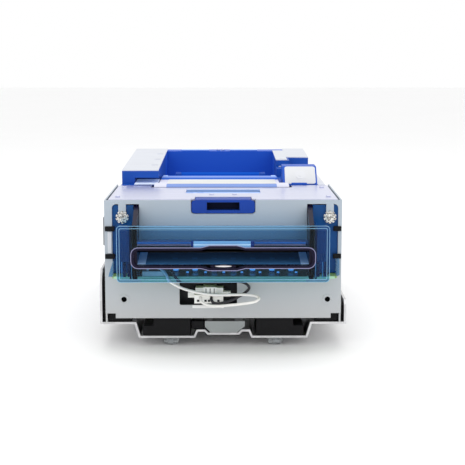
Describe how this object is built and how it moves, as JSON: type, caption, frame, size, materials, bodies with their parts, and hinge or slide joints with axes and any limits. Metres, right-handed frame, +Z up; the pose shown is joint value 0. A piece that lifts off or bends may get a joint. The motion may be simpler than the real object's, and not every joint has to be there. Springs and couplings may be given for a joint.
{
  "type": "bill validator",
  "caption": "Bill validator with a translucent front bezel and note slot, belt-driven feed rollers, and an upper unit that swings up when its front latch is pulled.",
  "frame": {"origin": "centre of the bounding box on the standing surface, under the middle of the machine", "axes": "+Y from the note slot towards the rear, +Z up, +X to the right as seen from the note slot"},
  "size_m": [0.232, 0.388, 0.1613],
  "materials": {
    "galvanised": "bright galvanised sheet",
    "plate_paint": "satin grey-blue coated sheet",
    "cover_sheet": "bright smooth sheet with a lavender cast",
    "tower_sheet": "very bright smooth sheet",
    "steel": "plain steel",
    "chrome": "bright plated screws",
    "blue_plastic": "fine moulded texture, mid blue",
    "latch_plastic": "fine moulded texture, deep blue",
    "clear_blue": "clear blue moulding, polished",
    "rim_plastic": "very dark blue, semi-gloss",
    "dark_plastic": "dark grey moulding",
    "black_plastic": "black moulding",
    "white_plastic": "white moulding",
    "cream_plastic": "cream connector nylon",
    "roller_rubber": "ground rubber",
    "foot_rubber": "clear soft rubber",
    "belt_rubber": "toothed rubber belt",
    "foam": "closed-cell foam",
    "board_green": "solder mask over glass board",
    "board_dark": "dark green solder mask",
    "led_blue": "blue lamp lenses",
    "bronze": "sintered bronze bushes",
    "wire_white": "white wire insulation",
    "wire_black": "black wire insulation",
    "label": "cream printed film, blank"
  },
  "bodies": {
    "chassis": {"base_tray": "galvanised", "tray_screws": "chrome", "side_plate_left": "plate_paint", "side_plate_right": "plate_paint", "front_plate": "plate_paint", "rear_panel": "galvanised", "rubber_feet": "foot_rubber", "skid_blocks": "black_plastic", "centre_tongue": "galvanised", "bezel_window": "clear_blue", "bezel_body": "rim_plastic", "note_funnel": "dark_plastic", "bezel_clips": "black_plastic", "side_strip": "white_plastic", "led_board": "board_green", "board_leds": "led_blue", "board_socket": "cream_plastic", "harness_plug": "cream_plastic", "white_wire": "wire_white", "black_wire": "wire_black", "corner_screws": "chrome", "star_washers": "chrome", "lower_guide": "dark_plastic", "shaft_bearings": "bronze", "timing_belt": "belt_rubber", "drive_motor": "steel", "sensor_bar": "board_dark", "control_board": "board_dark", "docking_connector": "black_plastic", "latch_catch": "steel", "hinge_pins": "steel", "side_pad": "foam"},
    "upper_unit": {"top_cover": "cover_sheet", "upper_frame": "galvanised", "upper_housing": "blue_plastic", "tower_plates": "tower_sheet", "wedge_cover": "blue_plastic", "wedge_panel": "white_plastic", "upper_guide": "dark_plastic", "pivot_pins": "steel", "cover_screws": "chrome", "pinch_pins": "steel", "pinch_springs": "steel"},
    "latch": {"release_latch": "latch_plastic"},
    "lid": {"access_lid": "cover_sheet", "lid_label": "label"},
    "entry_drive": {"entry_shaft": "steel", "entry_rollers": "roller_rubber", "entry_pulley": "cream_plastic"},
    "mid_drive": {"mid_shaft": "steel", "mid_rollers": "roller_rubber", "mid_pulley": "cream_plastic", "thumb_wheel": "blue_plastic"},
    "exit_drive": {"exit_shaft": "steel", "exit_rollers": "roller_rubber", "exit_pulley": "cream_plastic"},
    "motor_drive": {"motor_pulley": "steel"},
    "entry_idler": {"entry_pinch": "cream_plastic"},
    "mid_idler": {"mid_pinch": "cream_plastic"},
    "exit_idler": {"exit_pinch": "cream_plastic"}
  },
  "joints": [
    {"name": "unit_open", "type": "hinge", "parent": "chassis", "child": "upper_unit", "pos_m": [0, 0.183, 0.093], "axis": [-1, 0, 0], "range_deg": [0, 60]},
    {"name": "latch_pull", "type": "hinge", "parent": "upper_unit", "child": "latch", "pos_m": [0, -0.132, 0.134], "axis": [-1, 0, 0], "range_deg": [0, 15], "stiffness_Nm_per_rad": 0.05, "springref_deg": -17.19},
    {"name": "lid_open", "type": "hinge", "parent": "upper_unit", "child": "lid", "pos_m": [0, 0.047, 0.1438], "axis": [-1, 0, 0], "range_deg": [0, 95]},
    {"name": "mid_spin", "type": "hinge", "parent": "chassis", "child": "mid_drive", "pos_m": [0, -0.012, 0.0809], "axis": [1, 0, 0], "continuous": true},
    {"name": "entry_spin", "type": "hinge", "parent": "chassis", "child": "entry_drive", "pos_m": [0, -0.117, 0.0809], "axis": [1, 0, 0], "continuous": true},
    {"name": "exit_spin", "type": "hinge", "parent": "chassis", "child": "exit_drive", "pos_m": [0, 0.093, 0.0809], "axis": [1, 0, 0], "continuous": true},
    {"name": "motor_spin", "type": "hinge", "parent": "chassis", "child": "motor_drive", "pos_m": [0, 0.04, 0.0779], "axis": [1, 0, 0], "continuous": true},
    {"name": "entry_pinch_spin", "type": "hinge", "parent": "upper_unit", "child": "entry_idler", "pos_m": [0, -0.117, 0.0993], "axis": [1, 0, 0], "continuous": true},
    {"name": "mid_pinch_spin", "type": "hinge", "parent": "upper_unit", "child": "mid_idler", "pos_m": [0, -0.012, 0.0993], "axis": [1, 0, 0], "continuous": true},
    {"name": "exit_pinch_spin", "type": "hinge", "parent": "upper_unit", "child": "exit_idler", "pos_m": [0, 0.093, 0.0993], "axis": [1, 0, 0], "continuous": true}
  ],
  "couplings": [
    {"joint": "entry_spin", "follows": "mid_spin", "ratio": 1},
    {"joint": "exit_spin", "follows": "mid_spin", "ratio": 1},
    {"joint": "motor_spin", "follows": "mid_spin", "ratio": 1.5},
    {"joint": "entry_pinch_spin", "follows": "mid_spin", "ratio": -1.25},
    {"joint": "mid_pinch_spin", "follows": "mid_spin", "ratio": -1.25},
    {"joint": "exit_pinch_spin", "follows": "mid_spin", "ratio": -1.25}
  ]
}
